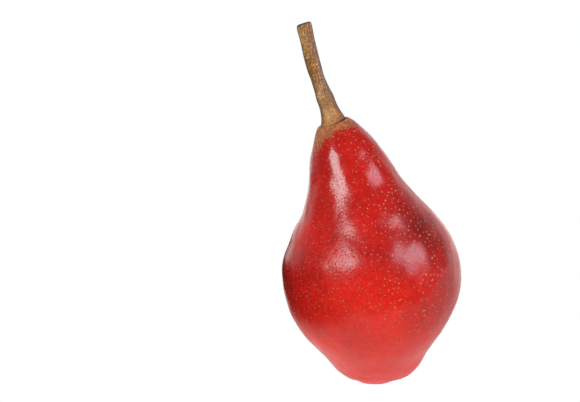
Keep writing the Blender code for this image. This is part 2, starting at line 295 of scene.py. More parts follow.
class Graph:
    """The node tree of one material or world, built by method calls."""

    def __init__(self, tree: bpy.types.NodeTree) -> None:
        """Empty a node tree and take it over."""
        self.tree = tree
        tree.nodes.clear()

    def add(self, kind: str, settings: dict[str, Any] | None = None, inputs: dict[Any, Any] | None = None,
            output: int | str = 0) -> Signal:
        """Add any node.

        Args:
            kind: the node's type.
            settings: its properties, set first.
            inputs: values or links of its sockets, by index or name.
            output: which output to return.

        Returns:
            The output that was asked for.
        """
        node = self.tree.nodes.new(kind)
        for key, value in (settings or {}).items():
            setattr(node, key, value)
        for key, value in (inputs or {}).items():
            socket = node.inputs[key]
            if isinstance(value, Signal):
                self.tree.links.new(value.socket, socket)
            else:
                socket.default_value = value
        return Signal(self, node.outputs[output]) if len(node.outputs) else None

    def place(self, scale: Triple = (1.0, 1.0, 1.0)) -> Signal:
        """Return Object coordinates through a Mapping node of this scale."""
        here = self.add("ShaderNodeTexCoord", output="Object")
        return self.add("ShaderNodeMapping", inputs={"Vector": here, "Scale": scale})

    def noise(self, scale: float, detail: float = 2.0, roughness: float = 0.5, place: Signal | None = None,
              ) -> Signal:
        """Return Noise Texture's value at this many cells to the metre."""
        inputs = {"Vector": place or self.place(), "Scale": scale, "Detail": detail, "Roughness": roughness}
        return self.add("ShaderNodeTexNoise", inputs=inputs)

    def attribute(self, name: str) -> Signal:
        """Return a mesh attribute's value."""
        return self.add("ShaderNodeAttribute", {"attribute_name": name}, output="Fac")

    def mix(self, factor: Signal | float, first: Any, second: Any) -> Signal:
        """Return two colours mixed."""
        colours = {6: first, 7: second}
        inputs = {0: factor} | {k: (*v, 1.0) if isinstance(v, tuple) else v for k, v in colours.items()}
        return self.add("ShaderNodeMix", {"data_type": "RGBA"}, inputs, output=2)

    def bump(self, height: Signal, distance: float) -> Signal:
        """Return a normal bent by a height signal, whose 1 stands for this distance."""
        return self.add("ShaderNodeBump", inputs={"Strength": 1.0, "Distance": distance, "Height": height})


class Finish:
    """A named material on one Principled shader."""

    def __init__(self, name: str) -> None:
        """Start an empty material."""
        self.material = bpy.data.materials.new(name)
        self.material.use_nodes = True
        self.graph = Graph(self.material.node_tree)

    def principled(self, inputs: dict[str, Any]) -> bpy.types.Material:
        """Put the shader and the output in, with these sockets, and return the material."""
        shader = self.graph.add("ShaderNodeBsdfPrincipled", inputs=inputs)
        self.graph.add("ShaderNodeOutputMaterial", inputs={"Surface": shader})
        return self.material


# Finishes

@dataclass(frozen=True)
class SkinFinish:
    """Waxy red skin: mottled reds, very dark red patches, a russet collar with specks, and fine wrinkles.
    The very dark red is the skin's own on the right and front, and painted shade down the left side.
    Painted shade also darkens the neck and the socket round the stem, and the warmer, lighter lower part is
    partly painted bounce light.

    Cells are noise cells to the metre.
    """

    # deep red: darker patches of the skin's own, and the colour that painted shade pulls towards
    deep: Colour = (0.39, 0.006, 0.005)
    red: Colour = (0.74, 0.014, 0.008)
    warm: Colour = (0.88, 0.031, 0.012)
    # very dark red: the skin's own on the right and front, painted shade down the left side
    wine: Colour = (0.10, 0.005, 0.007)
    russet: Colour = (0.50, 0.17, 0.055)
    russet_dark: Colour = (0.30, 0.075, 0.025)
    gold: Colour = (0.72, 0.34, 0.09)
    # near black: painted shade down in the socket round the stem's foot
    crease_shade: Colour = (0.05, 0.015, 0.008)
    roughness: float = 0.17
    russet_roughness: float = 0.5
    ior: float = 1.45
    relief: float = 0.16 * MM
    patch_cells: float = 45.0
    mottle_cells: float = 520.0
    streak_cells: float = 650.0
    net_cells: float = 1900.0
    tan_cells: float = 800.0
    gold_cells: float = 2600.0
    wrinkle_cells: Pair = (520.0, 1500.0)
    peel_cells: float = 1300.0
    russet_raggedness: float = 3.4

    def build(self) -> bpy.types.Material:
        """Build the material and return it."""
        finish = Finish("pear_skin")
        g = finish.graph
        names = ("shade", "warmth_and_bounce", "wine", "russet", "crease_shade", "bloom", "wrinkles")
        shade, warmth_and_bounce, wine, russet, crease_shade, bloom, crinkle = (g.attribute(name) for name in names)
        patches = g.noise(self.patch_cells, 3.0, 0.55).smooth(0.36, 0.66)
        mottle = g.noise(self.mottle_cells, 4.0, 0.62).smooth(0.28, 0.72)
        streak = g.noise(self.streak_cells, 4.0, 0.6, g.place((1.0, 1.0, 0.5))).smooth(0.3, 0.7)
        # painted shade pulls the reds towards deep on the neck and down the left side
        colour = g.mix((patches * 0.6 + mottle * 0.4) * (1.0 - shade * 0.5), self.deep, self.red)
        # warmer, lighter red low down: partly the skin's own colour, partly painted bounce light
        colour = g.mix(warmth_and_bounce * (mottle * 0.35 + 0.65), colour, self.warm)
        # very dark red: the skin's own on the right and front, painted shade down the left side
        blush_and_shade = (wine + (streak - 0.5) * 0.3 * wine.smooth(0.02, 0.4)).clamped()
        colour = g.mix(blush_and_shade, colour, self.wine)

        net = g.noise(self.net_cells, 3.0, 0.6)
        cover = (russet + (net - 0.5) * self.russet_raggedness).smooth(0.42, 0.62)
        tan = g.mix(g.noise(self.tan_cells, 3.0, 0.6).smooth(0.35, 0.65), self.russet_dark, self.russet)
        tan = g.mix(g.noise(self.gold_cells).smooth(0.58, 0.7) * 0.7, tan, self.gold)
        # the russet darkens down into the socket: painted shade
        tan = g.mix(crease_shade, tan, self.russet_dark)
        colour = g.mix(cover, colour, tan)
        # painted shade: near black down in the socket
        colour = g.mix(crease_shade.smooth(0.5, 1.0) * 0.85, colour, self.crease_shade)

        roughness = self.roughness + (mottle - 0.5) * 0.05 + bloom * 0.05 + crinkle * 0.05
        roughness = roughness + cover * (self.russet_roughness - self.roughness)
        coarse, fine = (g.noise(cells) for cells in self.wrinkle_cells)
        wrinkles = (coarse * 0.5 + fine * 0.5) * crinkle
        peel = wrinkles + g.noise(self.peel_cells) * 0.2 + cover * net * 0.6
        return finish.principled({
            "Base Color": colour,
            "Roughness": roughness,
            "IOR": self.ior,
            "Normal": g.bump(peel, self.relief),
        })


@dataclass(frozen=True)
class LenticelFinish:
    """A corky pore: pale tan or brown in the middle, with a dark red rim."""

    core: Colour = (0.74, 0.38, 0.17)
    core_dark: Colour = (0.36, 0.075, 0.04)
    rim: Colour = (0.20, 0.009, 0.007)
    roughness: float = 0.5

    def build(self) -> bpy.types.Material:
        """Build the material and return it."""
        finish = Finish("pear_lenticel")
        g = finish.graph
        core = g.mix(g.attribute("tone"), self.core_dark, self.core)
        edge = g.attribute("rim").smooth(0.25, 0.9)
        return finish.principled({"Base Color": g.mix(edge, core, self.rim), "Roughness": self.roughness})


@dataclass(frozen=True)
class StemFinish:
    """Dry woody stem: tan and brown along the grain, finely flecked, with a dark cut end and pale warts.
    Painted sheen lightens it where it faces the lights; painted shade darkens its outline and its foot in
    the socket.

    Cells are noise cells to the metre.
    """

    tan: Colour = (0.49, 0.195, 0.040)
    brown: Colour = (0.215, 0.088, 0.022)
    furrow: Colour = (0.055, 0.027, 0.013)
    ochre: Colour = (0.41, 0.105, 0.003)
    char: Colour = (0.022, 0.014, 0.010)
    wart: Colour = (0.72, 0.40, 0.13)
    # pale gold: the stem's pale flecks, and painted sheen where it faces the lights
    pale: Colour = (0.74, 0.38, 0.10)
    grey: Colour = (0.21, 0.15, 0.105)
    # dark brown for painted shade along the stem's outline, where it turns edge-on
    rim: Colour = (0.085, 0.038, 0.014)
    roughness: float = 0.2
    relief: float = 0.45 * MM
    fibre_cells: float = 900.0
    blotch_cells: float = 330.0
    fleck_cells: float = 1900.0

    def build(self) -> bpy.types.Material:
        """Build the material and return it."""
        finish = Finish("pear_stem")
        g = finish.graph
        names = ("foot", "grey", "furrow", "pale", "wart", "cut", "toe")
        foot, grey, furrow, pale, wart, cut, toe = (g.attribute(name) for name in names)
        fibre = g.noise(self.fibre_cells, 4.0, 0.65, g.place((1.0, 1.0, 0.35)))
        blotch = g.noise(self.blotch_cells, 4.0, 0.62, g.place((1.0, 1.0, 0.55)))
        fleck = g.noise(self.fleck_cells, 4.0, 0.7, g.place((1.0, 1.0, 0.8)))
        outline_shade = g.add("ShaderNodeLayerWeight", inputs={"Blend": 0.5}, output="Facing")
        colour = g.mix((fibre * 0.6 + fleck * 0.4).smooth(0.36, 0.64), self.brown, self.tan)
        layers = (
            (foot * (blotch * 0.6 + 0.5), self.ochre),
            (blotch.smooth(0.52, 0.68) * 0.6, self.brown),
            (grey * (blotch * 0.8 + 0.25), self.grey),
            (furrow * (fibre * 0.7 + 0.1), self.furrow),
            ((1.0 - fleck).smooth(0.53, 0.60) * 0.6, self.furrow),
            # painted sheen: paler where the stem faces the lights
            (pale * (fleck * 1.4).clamped() * 0.8, self.pale),
            (fleck.smooth(0.55, 0.62) * 0.8, self.pale),
            (wart, self.wart),
            # painted shade: darker where the stem turns edge-on, along its outline
            (outline_shade.smooth(0.2, 0.75) * 0.8, self.rim),
            ((cut + (fleck - 0.5) * 0.7).smooth(0.4, 0.7), self.char),
            # painted shade: dark at the foot, down in the socket below the lip
            (toe * 0.8, self.furrow),
        )
        for cover, paint in layers:
            colour = g.mix(cover, colour, paint)
        return finish.principled({
            "Base Color": colour,
            "Roughness": self.roughness + fibre * 0.2 + foot * 0.12,
            "Normal": g.bump(fibre * 0.5 + fleck * 0.5, self.relief),
        })


@dataclass(frozen=True)
class CalyxFinish:
    """Dried flower remains: blackish brown, with tan worn edges."""

    dark: Colour = (0.018, 0.012, 0.009)
    brown: Colour = (0.085, 0.042, 0.020)
    edge: Colour = (0.36, 0.19, 0.07)
    roughness: float = 0.55
    relief: float = 0.2 * MM
    crust_cells: float = 1700.0

    def build(self) -> bpy.types.Material:
        """Build the material and return it."""
        finish = Finish("pear_calyx")
        g = finish.graph
        crust = g.noise(self.crust_cells, 4.0, 0.65)
        colour = g.mix(crust.smooth(0.4, 0.7), self.dark, self.brown)
        worn = (g.attribute("edge") + (crust - 0.5) * 0.8).smooth(0.55, 0.85)
        return finish.principled({
            "Base Color": g.mix(worn, colour, self.edge),
            "Roughness": self.roughness + crust * 0.3,
            "Normal": g.bump(crust, self.relief),
        })


# Fruit

@dataclass(frozen=True)
class Station:
    """One point of the turned outline in millimetres, and how strongly swells and folds act there."""

    radius: float
    height: float
    swell: float = 1.0
    fold: float = 0.0


@dataclass(frozen=True)
class Bell:
    """A soft place on a round form: a bell in azimuth (degrees) and height (millimetres)."""

    azimuth: float
    height: float
    spread_azimuth: float
    spread_height: float = math.inf
    amount: float = 1.0

    def at(self, azimuth: Array, height: Array) -> Array:
        """Return the amount times exp(-a^2 - h^2), with a and h counted in spreads."""
        sideways = angle_from(azimuth, self.azimuth) / self.spread_azimuth
        upward = (height - self.height) / self.spread_height
        return self.amount * np.exp(-sideways ** 2 - upward ** 2)


def add_up(bells: Sequence[Bell], azimuth: Array, height: Array) -> Array:
    """Return the sum of the bells at each azimuth and height."""
    return sum(bell.at(azimuth, height) for bell in bells)


@dataclass(frozen=True)
class SkinZones:
    """Where the skin's finish changes, in millimetres and degrees.

    A pair says where a zone's fade starts and ends.
    """

    collar: float = 1.9
    collar_falls: tuple[Bell, ...] = (Bell(320, 0, 50, amount=0.9), Bell(200, 0, 42, amount=4.2))
    collar_fade: Pair = (0.3, 2.2)
    basin: Pair = (5.0, 9.0)
    # painted shade: the skin goes dark from 0.1 to 0.9 mm past the lip, down into the socket
    crease_shade: Pair = (0.1, 0.9)
    # very dark red: the skin's own on the right and front; the bell at azimuth 180 is painted shade down
    # the left side
    wine: tuple[Bell, ...] = (
        Bell(322, 59, 24, 9.5, 0.6), Bell(338, 43, 14, 11, 0.25), Bell(180, 45, 34, 11, 0.7),
        Bell(262, 56, 60, 9, 0.06))
    # painted shade: down the left side, on the neck except towards the front right, and behind the neck on
    # the left
    shaded: Bell = Bell(180, 45, 34, 11, 0.9)
    neck: Pair = (58.0, 74.0)
    neck_depth: float = 0.95
    neck_light: Bell = Bell(298, 0, 38, amount=0.5)
    rear_neck: Pair = (60.0, 74.0)
    rear: Bell = Bell(205, 0, 30, amount=0.4)
    # warmer, lighter red: partly the skin's own, partly painted bounce light from the floor; the bell at
    # azimuth 214 is painted bounce light on the lower left
    warm: tuple[Bell, ...] = (Bell(275, 36, 34, 14, 0.45), Bell(214, 22, 22, 9, 0.45))
    warm_low: Pair = (10.0, 38.0)
    warm_base: Pair = (2.0, 16.0)
    warmth_and_bounce: float = 0.35
    smoothest: float = 0.12
    wrinkled: tuple[Bell, ...] = (Bell(245, 53, 32, 9, 1.75), Bell(255, 72, 30, 9, 0.6125))
    bloom: Pair = (50.0, 78.0)
    wander: Ripple = Ripple(23, 30, 3 * MM, 14 * MM, 1.0)

    def masks(self, azimuth: Array, height: Array, run: Array, lip: float,
              points: Array) -> dict[str, Array]:
        """Work out where the skin is russet, very dark red, warmer, wrinkled or bloomy, and where painted
        shade and painted bounce light go.

        Args:
            azimuth: each point's direction.
            height: its height on the outline in millimetres.
            run: its distance along the outline in millimetres.
            lip: the run at the socket's lip in millimetres.
            points: the points.

        Returns:
            One value for each point, by the name that the finish reads.
        """
        wander = self.wander.at(points)
        collar = self.collar + add_up(self.collar_falls, azimuth, height) + 0.3 * wander
        russet = 1.0 - ease(*self.collar_fade, (lip - run) / collar) + 0.8 * (1.0 - ease(*self.basin, run))
        # the neck's painted shade eases off towards the front right
        neck = ease(*self.neck, height) * (1.0 - self.neck_light.at(azimuth, height))
        rear = ease(*self.rear_neck, height) * self.rear.at(azimuth, height)
        # warmer and lighter low down: partly the skin's own colour, partly painted bounce light
        low = (1.0 + ease(*self.warm_base, height)) * (1.0 - ease(*self.warm_low, height))
        warmth_and_bounce = self.warmth_and_bounce * low + add_up(self.warm, azimuth, height) + 0.1 * wander
        # painted shade: the neck, the left side, and behind the neck on the left
        shade = self.neck_depth * neck + self.shaded.at(azimuth, height) + rear
        return {
            "russet": clamp(russet),
            "crease_shade": ease(*self.crease_shade, run - lip),
            "wine": clamp(add_up(self.wine, azimuth, height) + 0.05 * wander),
            "shade": np.clip(shade, 0.0, 1.4),
            "warmth_and_bounce": clamp(warmth_and_bounce),
            "wrinkles": self.smoothest + add_up(self.wrinkled, azimuth, height),
            "bloom": 1.0 - ease(*self.bloom, height),
        }


@dataclass
class Fruit:
    """The skin, from the middle of the basin round to the floor of the stem's socket."""

    length: float = 97.5 * MM
    spine_x: tuple[float, ...] = (1.09, 1.09, -0.96, -4.82, -14.58)
    spine_y: tuple[float, ...] = (0.20, 0.20, -2.79, 2.07, 3.75)
    outline: tuple[Station, ...] = (
        Station(0.0, 5.0, 0.0), Station(2.7, 4.8, 0.0), Station(4.5, 3.2, 0.0, 0.35),
        Station(5.2, 1.2, 0.1, 0.8), Station(6.2, -0.4, 0.5, 1.0), Station(8.0, -0.8, 1.0, 1.0),
        Station(12.5, 1.6, 1.0, 0.42), Station(16.4, 5.9, 1.0, 0.2), Station(22.0, 12.9, 1.0, 0.08),
        Station(27.5, 20.7, 1.0, 0.02), Station(32.0, 31.6), Station(32.6, 41.8), Station(30.6, 51.9),
        Station(23.4, 62.4), Station(18.3, 72.9), Station(14.0, 83.3), Station(10.3, 91.3),
        Station(6.8, 96.4), Station(5.5, 97.5, 0.8), Station(4.7, 97.25, 0.3), Station(4.3, 96.6, 0.0),
        Station(4.2, 95.5, 0.0), Station(3.8, 95.2, 0.0), Station(0.0, 95.2, 0.0),
    )
    swells: tuple[Bell, ...] = (
        Bell(0, 40, 50, 13, 1.75), Bell(180, 34, 50, 11, -0.8), Bell(180, 54.3, 40, 4.5, -0.51),
        Bell(180, 61.1, 40, 4.5, 1.09), Bell(180, 69.4, 40, 4.5, 0.05), Bell(0, 60.7, 45, 5, 1.02),
        Bell(0, 73.3, 45, 5, -0.35), Bell(180, 86.8, 60, 7, 0.6), Bell(180, 92.1, 50, 3.5, -0.13),
        Bell(180, 97.0, 45, 1.6, 0.39), Bell(0, 93.6, 50, 5, -0.31), Bell(180, 12, 50, 7, -0.58),
        Bell(350, 5, 46, 5, 1.7), Bell(100, 38, 60, 15, 0.7), Bell(75, 66, 45, 9, -0.6),
        Bell(130, 20, 40, 9, -0.5), Bell(268, 64, 34, 6.5, 1.25), Bell(302, 64, 34, 6.5, 0.6),
        Bell(245, 56, 34, 7, 0.95), Bell(235, 45, 34, 9, -0.6), Bell(302, 45, 34, 9, -0.5),
        Bell(250, 88, 34, 7, 0.7), Bell(235, 72, 34, 7, 0.35), Bell(0, 82, 45, 5, -0.11),
        Bell(0, 67, 45, 4, 0.2), Bell(180, 79, 45, 5, -0.18), Bell(247, 53.0, 17, 8, -0.28),
        Bell(304, 62, 16, 5, -0.2),
    )
    folds: tuple[Bell, ...] = (
        Bell(22, 0, 12, amount=-1.1), Bell(95, 0, 12, amount=-1.4), Bell(165, 0, 12, amount=-1.0),
        Bell(232, 0, 12, amount=-0.6), Bell(310, 0, 12, amount=-0.65))
    undulation: Ripple = Ripple(7, 26, 5 * MM, 16 * MM, 0.07 * MM)
    dimples: Ripple = Ripple(11, 48, 1.8 * MM, 4.5 * MM, 0.007 * MM, (1.0, 1.0, 1.2))
    inset: float = 0.11 * MM
    zones: SkinZones = SkinZones()
    rim_station: int = 4
    shoulder_station: int = 17
    lip_station: int = 18
    table_spacing: float = 0.1 * MM
    columns: int = 376
    rows: int = 240

    def __post_init__(self) -> None:
        """Tabulate the outline finely by the distance run along it."""
        stations = np.array([(s.radius * MM, s.height * MM, s.swell, s.fold) for s in self.outline])
        self.table = smooth_curve(stations, self.table_spacing)
        self.table[:, 2:] = clamp(self.table[:, 2:])
        step = np.linalg.norm(np.diff(self.table[:, :2], axis=0), axis=1)
        self.run = np.concatenate([[0.0], np.cumsum(step)])
        self.heading = unit(np.gradient(self.table[:, :2], self.run, axis=0))

    def station_run(self, index: int) -> float:
        """Return the distance run to a station of the outline."""
        station = self.outline[index]
        gap = np.hypot(self.table[:, 0] - station.radius * MM, self.table[:, 1] - station.height * MM)
        return float(self.run[np.argmin(gap)])

    def surface(self, azimuth: Array, run: Array, fine: bool = True) -> Array:
        """Turn the outline round the bent spine and stand the swells, folds and ripples out from it.

        The point is the spine's at that height, plus the radius times the direction of the azimuth in the
        plane square to the spine. Nothing goes below the floor.

        Args:
            azimuth: directions in degrees.
            run: distances along the outline, shaped to broadcast against azimuth.
            fine: whether the small ripples count.

        Returns:
            The points, with X, Y and Z on the last axis.
        """
        azimuth, run = np.broadcast_arrays(azimuth, run)
        radius, height, swell, fold = (np.interp(run, self.run, self.table[:, i]) for i in range(4))
        out, up = (np.interp(run, self.run, self.heading[:, i]) for i in range(2))
        relief = add_up(self.swells, azimuth, height / MM) * MM * swell
        relief = relief + add_up(self.folds, azimuth, height / MM) * MM * fold
        points = self._turned(azimuth, radius + up * relief, height - out * relief)
        if fine:
            relief = relief + (self.undulation.at(points) + self.dimples.at(points) - self.inset) * swell
            points = self._turned(azimuth, radius + up * relief, height - out * relief)
        points[..., 2] = np.maximum(points[..., 2], 0.0)
        return points

    def _turned(self, azimuth: Array, radius: Array, height: Array) -> Array:
        """Place each azimuth, radius and height round the spine."""
        share = (height / self.length)[..., None]
        controls = np.stack([self.spine_x, self.spine_y, np.zeros(len(self.spine_x))], axis=-1) * MM
        centre, rate = bezier(controls, share)
        up = np.array([0.0, 0.0, 1.0])
        centre = centre + height[..., None] * up
        _, across, over = frames_along(rate / self.length + up)
        turn = np.radians(azimuth)[..., None]
        return centre + radius[..., None] * (np.cos(turn) * across + np.sin(turn) * over)

    def row_runs(self) -> Array:
        """Return the rows' distances along the outline, closest together at the basin's rim and the lip."""
        fine = np.linspace(0.0, self.run[-1], 4000)
        density = np.ones(fine.shape)
        for station, extra, spread in ((self.lip_station, 2.5, 3 * MM), (self.rim_station, 1.2, 8 * MM)):
            density += extra * np.exp(-((fine - self.station_run(station)) / spread) ** 2)
        gathered = np.concatenate([[0.0], np.cumsum((density[1:] + density[:-1]) / 2)])
        return np.interp(np.linspace(0.0, gathered[-1], self.rows + 2)[1:-1], gathered, fine)

    def build(self) -> None:
        """Make the skin with the masks that its finish reads."""
        azimuth = np.arange(self.columns)[None, :] * 360.0 / self.columns
        azimuth, run = np.broadcast_arrays(azimuth, self.row_runs()[:, None])
        points = self.surface(azimuth, run)
        height = np.interp(run, self.run, self.table[:, 1])
        lip = self.station_run(self.lip_station)
        masks = self.zones.masks(azimuth, height / MM, run / MM, lip / MM, points)
        dress(closed_piece("pear_skin", [points], masks), SkinFinish().build(), "fruit")


@dataclass
class Lenticels:
    """Corky pores over the skin, drawn from a seeded sample, each a tiny dome sunk at its edge.

    A fade is a pair of heights in millimetres, and a shape is that of a beta distribution.
    """

    fruit: Fruit
    seed: int = 41
    candidates: int = 3700
    draws_each: int = 6
    closest: float = 1.35 * MM
    smallest: float = 0.18 * MM
    largest: float = 0.34 * MM
    rise: float = 0.05 * MM
    sides: int = 6
    sparse: float = 0.08
    crowd: float = 0.42
    crowd_fade: Pair = (30.0, 54.0)
    crowd_cheek: Bell = Bell(315, 44, 38, 17, 0.5)
    neck_fade: Pair = (93.0, 97.0)
    size_shape: Pair = (1.6, 2.6)
    small_share: float = 0.7
    small_fade: Pair = (18.0, 36.0)
    right: Bell = Bell(312, 0, 30)
    large_right: float = 0.5
    pale_right: float = 0.35
    long_chance: float = 0.04
    long_right: float = 0.14
    long_range: Pair = (1.6, 3.0)
    tone_shape: Pair = (1.2, 1.7)
    mouth: float = 0.55

    def density(self, azimuth: Array, height: Array) -> Array:
        """Return how likely a pore is, from 0 to 1: fewer low down, more on the right cheek."""
        likely = self.sparse + self.crowd * ease(*self.crowd_fade, height)
        likely = likely + self.crowd_cheek.at(azimuth, height)
        return likely * (1.0 - ease(*self.neck_fade, height))

    def sample(self) -> tuple[Array, Array]:
        """Draw places with a chance that follows the skin's area and the density, no two too close.

        Returns:
            The azimuths and the runs of the pores.
        """
        fruit = self.fruit
        rng = np.random.default_rng(self.seed)
        low, high = fruit.station_run(fruit.rim_station + 2), fruit.station_run(fruit.shoulder_station)
        count = self.candidates * self.draws_each
        azimuth = rng.uniform(0.0, 360.0, count)
        run = rng.uniform(low, high, count)
        radius, height = (np.interp(run, fruit.run, fruit.table[:, i]) for i in range(2))
        chance = radius / fruit.table[:, 0].max() * self.density(azimuth, height / MM)
        kept = np.nonzero(rng.uniform(size=count) < chance)[0][:self.candidates]
        azimuth, run = azimuth[kept], run[kept]
        points = fruit.surface(azimuth, run, fine=False).astype(np.float32)
        square = (points ** 2).sum(axis=1)
        apart = square[:, None] + square[None, :] - 2 * points @ points.T
        crowded = np.tril(apart < self.closest ** 2, -1).any(axis=1)
        return azimuth[~crowded], run[~crowded]

    def tangents(self, azimuth: Array, run: Array) -> tuple[Array, Array, Array]:
        """Return the unit directions round, up and out of the skin at each place, from close neighbours."""
        turn, step = 0.3, 0.15 * MM
        around = self.fruit.surface(azimuth + turn, run) - self.fruit.surface(azimuth - turn, run)
        upward = self.fruit.surface(azimuth, run + step) - self.fruit.surface(azimuth, run - step)
        around = unit(around)
        normal = unit(np.cross(around, upward))
        return around, np.cross(normal, around), normal

    def build(self) -> None:
        """Make all pores as one piece, a fan and a ring for each."""
        azimuth, run = self.sample()
        here = self.fruit.surface(azimuth, run)
        around, upward, normal = self.tangents(azimuth, run)

        rng = np.random.default_rng(self.seed + 1)
        count = len(azimuth)
        height = here[:, 2] / MM
        right = self.right.at(azimuth, height)
        size = self.smallest + (self.largest - self.smallest) * rng.beta(*self.size_shape, count)
        size = size * (self.small_share + (1.0 - self.small_share) * ease(*self.small_fade, height))
        size = size * (1.0 + self.large_right * right)
        stretched = rng.uniform(size=count) < self.long_chance + self.long_right * right
        long = np.where(stretched, rng.uniform(*self.long_range, count), 1.0)
        spin = rng.uniform(0.0, math.pi, count)
        pale = clamp(rng.beta(*self.tone_shape, count) + self.pale_right * right)

        ahead = np.cos(spin)[:, None] * around + np.sin(spin)[:, None] * upward
        beside = np.cross(normal, ahead)
        turn = turns(self.sides)[None, :, None]
        flat = np.cos(turn) * (ahead * long[:, None])[:, None]
        flat = (flat + np.sin(turn) * (beside / np.sqrt(long)[:, None])[:, None]) * size[:, None, None]
        lift = normal[:, None] * self.rise
        dome = np.concatenate([here[:, None] + lift,
                               here[:, None] + flat * self.mouth + lift * 0.8,
                               here[:, None] + flat - lift * 0.5], axis=1)
        centre = np.zeros(self.sides, dtype=int)
        inner = 1 + np.arange(self.sides)
        outer = inner + self.sides
        fan = np.stack([centre, inner, np.roll(inner, -1)], axis=-1)
        band = np.stack([inner, outer, np.roll(outer, -1), np.roll(inner, -1)], axis=-1)
        first = np.arange(count)[:, None, None] * dome.shape[1]
        faces = (fan[None] + first).reshape(-1, 3).tolist() + (band[None] + first).reshape(-1, 4).tolist()
        rim = np.tile(np.repeat([0.0, 0.45, 1.0], [1, self.sides, self.sides]), count)
        tone = np.repeat(pale, dome.shape[1])
        pores = new_object("pear_lenticels", dome.reshape(-1, 3), faces, {"rim": rim, "tone": tone})
        dress(pores, LenticelFinish().build(), None)


# Stem

@dataclass(frozen=True)
class Wart:
    """A small pale bump on the stem: millimetres from the lip, azimuth, radius and height."""

    distance: float
    azimuth: float
    radius: float
    height: float


@dataclass(frozen=True)
class Knot:
    """A swelling or a waist all round the stem: millimetres from the lip, spread and height."""

    distance: float
    spread: float
    height: float


@dataclass(frozen=True)
class Furrow:
    """Furrows along the stem: how many, height in millimetres, phase, and millimetres for one turn."""

    count: int
    height: float
    phase: float
    twist: float


